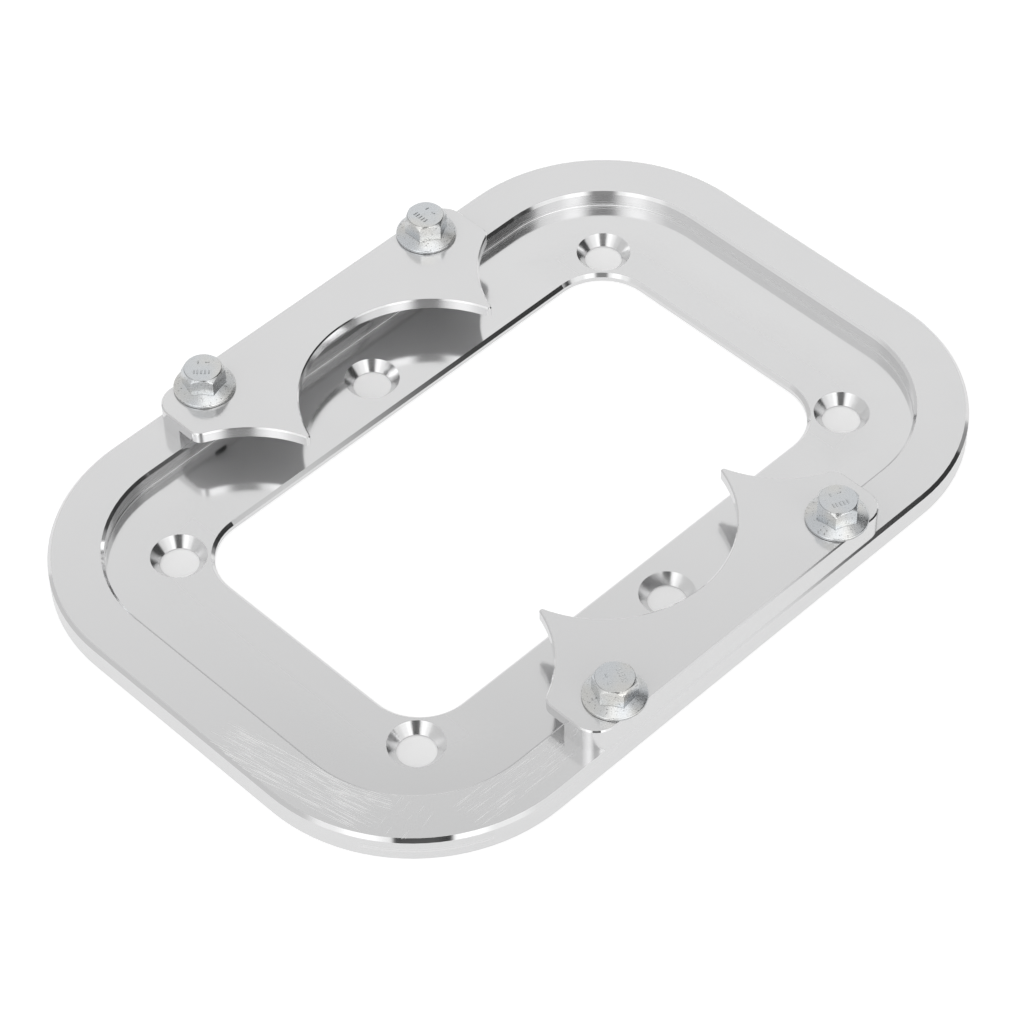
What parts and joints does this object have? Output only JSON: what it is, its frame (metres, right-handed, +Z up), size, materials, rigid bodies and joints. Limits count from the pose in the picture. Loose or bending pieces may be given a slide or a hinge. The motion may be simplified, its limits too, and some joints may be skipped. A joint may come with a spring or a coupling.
{
  "type": "battery hold-down plate",
  "caption": "Machined aluminium plate with a rounded outline, shallow pocket and window, and scalloped clamp bars bolted to its long rims to hold battery cells down.",
  "frame": {"origin": "Under the middle of the plate, on its underside", "axes": "+X along the plate and its clamp bars, +Y towards the rear clamp, +Z up through the bolts' heads"},
  "size_m": [0.2966, 0.2122, 0.029],
  "materials": {
    "plate_aluminium": "polished, with fine hairline scratches on the rim",
    "clamp_aluminium": "polished",
    "zinc_plated_steel": "bright zinc plating, slightly speckled"
  },
  "bodies": {
    "root": {"base_plate": "plate_aluminium", "rear_clamp": "clamp_aluminium", "front_clamp": "clamp_aluminium", "rear_left_bolt": "zinc_plated_steel", "rear_right_bolt": "zinc_plated_steel", "front_left_bolt": "zinc_plated_steel", "front_right_bolt": "zinc_plated_steel"}
  },
  "joints": []
}
